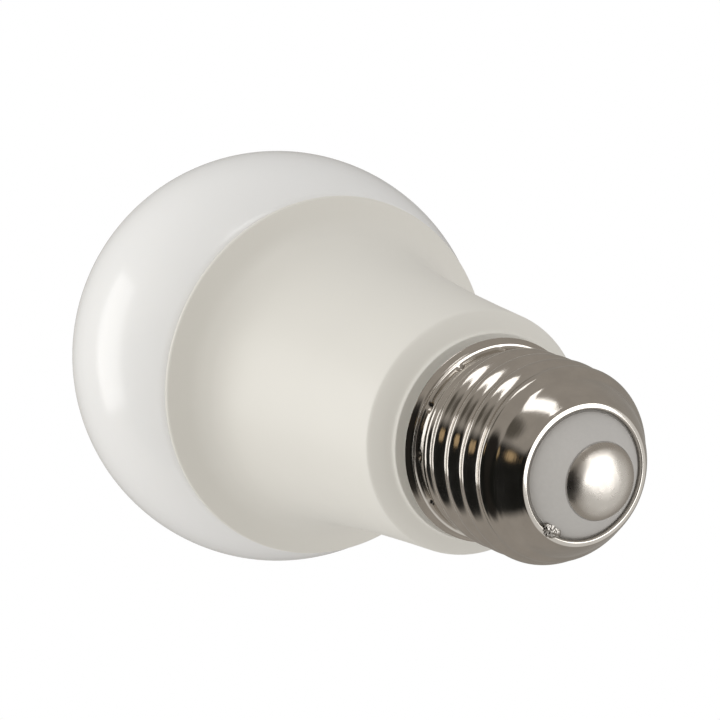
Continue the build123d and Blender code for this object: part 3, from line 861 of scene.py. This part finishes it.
class BULB_OT_studio(bpy.types.Operator):
    """Sets the floor, the soft lights, the surroundings and the camera"""

    bl_idname = "bulb.studio"
    bl_label = "Studio"

    def execute(self, context):
        studio = context.scene.bulb_studio
        turn, axes = studio_axes(studio)
        low, high = CAD_BOX
        centre = 0.5 * (low + high)
        self.lay_floor(context, low.z - studio.floor_drop)
        self.surround(context, axes, studio.ambient)
        softboxes = [
            ("left", towards(axes, -0.93, 0.08, -0.28), 0.9, (0.34, 0.7), studio.left),
            ("top", towards(axes, -0.12, 0.84, 0.36), 0.9, (0.5, 0.26), studio.top),
            ("right", towards(axes, 0.74, -0.03, 0.64), 0.9, (0.66, 0.66), studio.right),
        ]
        for name, direction, distance, sides, brightness in softboxes:
            deselect()
            bpy.ops.object.light_add(type="AREA", location=centre + direction * distance)
            lamp = context.object
            lamp.name = f"studio_{name}"
            lamp.rotation_euler = faced(direction, axes[1])
            lamp.data.shape = "RECTANGLE"
            lamp.data.size, lamp.data.size_y = sides
            lamp.data.energy = brightness * math.pi * sides[0] * sides[1]
            lamp.visible_camera = False
        deselect()
        bpy.ops.object.camera_add()
        camera = context.object
        camera.name = "studio_camera"
        camera.matrix_world = Matrix.Translation(Vector(studio.place)) @ turn
        camera.data.lens = studio.lens
        camera.data.sensor_width = 36
        camera.data.clip_start = 10 * MM
        camera.data.clip_end = 100
        context.scene.camera = camera
        context.scene.view_settings.view_transform = "Standard"
        return {"FINISHED"}

    def lay_floor(self, context, height):
        """A wide sheet of pale paper, well below the bulb."""
        deselect()
        bpy.ops.mesh.primitive_plane_add(size=12, location=(0, 0, height))
        floor = context.object
        floor.name = "studio_floor"
        bpy.ops.object.transform_apply(location=True, rotation=True, scale=True)
        floor.data.materials.append(studio_paper(context.scene.bulb_finishes.floor))
        floor.visible_glossy = False
        floor.visible_diffuse = False

    def surround(self, context, axes, ambient):
        """A light tent for matte surfaces, a room with dark flags for shiny ones, and a white backdrop."""
        world = bpy.data.worlds.new("studio_surround")
        world.use_nodes = True
        context.scene.world = world
        tree = world.node_tree
        tree.nodes.clear()
        place = add_node(tree, "ShaderNodeTexCoord")
        tent = layered(
            tree,
            place,
            (ambient,) * 3,
            [
                (towards(axes, -1, -0.1, 0), 88, 30, (1.2, 1.2, 1.19)),
                (towards(axes, 0.9, -0.2, -0.4), 60, 20, (0.95, 0.94, 0.93)),
                (towards(axes, -0.1, -0.2, 1), 58, 20, (0.54, 0.52, 0.485)),
            ],
        )
        room = layered(
            tree,
            place,
            (0.36, 0.333, 0.302),
            [
                (towards(axes, 0, 0, -1), 75, 40, (0.33, 0.31, 0.285)),
                (towards(axes, 0.80, -0.35, 0.3), 52, 22, (0.78, 0.77, 0.75)),
                (towards(axes, -0.28, -0.38, 0.88), 40, 30, (0.02, 0.018, 0.016)),
                (towards(axes, -0.80, -0.30, 0.45), 44, 32, (0.01, 0.01, 0.009)),
                (towards(axes, -0.56, 0.52, 0.45), 17, 6, (0.1, 0.09, 0.075)),
                (towards(axes, -0.70, 0.10, 0.68), 7, 3, (0.5, 0.36, 0.2)),
            ],
        )
        ray = add_node(tree, "ShaderNodeLightPath")
        matte = add_node(tree, "ShaderNodeBackground", links={"Color": tent})
        shiny = add_node(tree, "ShaderNodeBackground", links={"Color": room})
        white = add_node(tree, "ShaderNodeBackground", values={"Color": (1, 1, 1, 1), "Strength": 1.0})
        lit = add_node(
            tree,
            "ShaderNodeMixShader",
            links={0: (ray, "Is Glossy Ray"), 1: (matte, "Background"), 2: (shiny, "Background")},
        )
        shown = add_node(
            tree,
            "ShaderNodeMixShader",
            links={0: (ray, "Is Camera Ray"), 1: (lit, "Shader"), 2: (white, "Background")},
        )
        add_node(tree, "ShaderNodeOutputWorld", links={"Surface": (shown, "Shader")})


class BULB_PT_panel(bpy.types.Panel):
    """Lists the bulb's pieces and values"""

    bl_idname = "BULB_PT_panel"
    bl_label = "Smart light bulb"
    bl_space_type = "VIEW_3D"
    bl_region_type = "UI"
    bl_category = "Bulb"

    def draw(self, context):
        for operator in OPERATORS:
            self.layout.operator(operator.bl_idname)
        for group in (context.scene.bulb_sizes, context.scene.bulb_finishes, context.scene.bulb_studio):
            column = self.layout.column()
            for name in group.__annotations__:
                column.prop(group, name)


OPERATORS = [
    BULB_OT_diffuser,
    BULB_OT_housing,
    BULB_OT_screw_shell,
    BULB_OT_insulator,
    BULB_OT_centre_contact,
    BULB_OT_side_solder,
    BULB_OT_inner_parts,
    BULB_OT_studio,
]
GROUPS = {"bulb_sizes": BulbSizes, "bulb_finishes": BulbFinishes, "bulb_studio": BulbStudio}


def register():
    """Registers the values, the operators and the panel."""
    for name, group in GROUPS.items():
        bpy.utils.register_class(group)
        setattr(bpy.types.Scene, name, PointerProperty(type=group))
    for operator in OPERATORS:
        bpy.utils.register_class(operator)
    bpy.utils.register_class(BULB_PT_panel)


def unregister():
    """Removes the panel, the operators and the values."""
    bpy.utils.unregister_class(BULB_PT_panel)
    for operator in reversed(OPERATORS):
        bpy.utils.unregister_class(operator)
    for name, group in GROUPS.items():
        delattr(bpy.types.Scene, name)
        bpy.utils.unregister_class(group)


def main():
    """Builds every piece and the studio."""
    register()
    bpy.ops.bulb.diffuser()
    bpy.ops.bulb.housing()
    bpy.ops.bulb.screw_shell()
    bpy.ops.bulb.insulator()
    bpy.ops.bulb.centre_contact()
    bpy.ops.bulb.side_solder()
    bpy.ops.bulb.inner_parts()
    bpy.ops.bulb.studio()


if __name__ == "__main__":
    main()
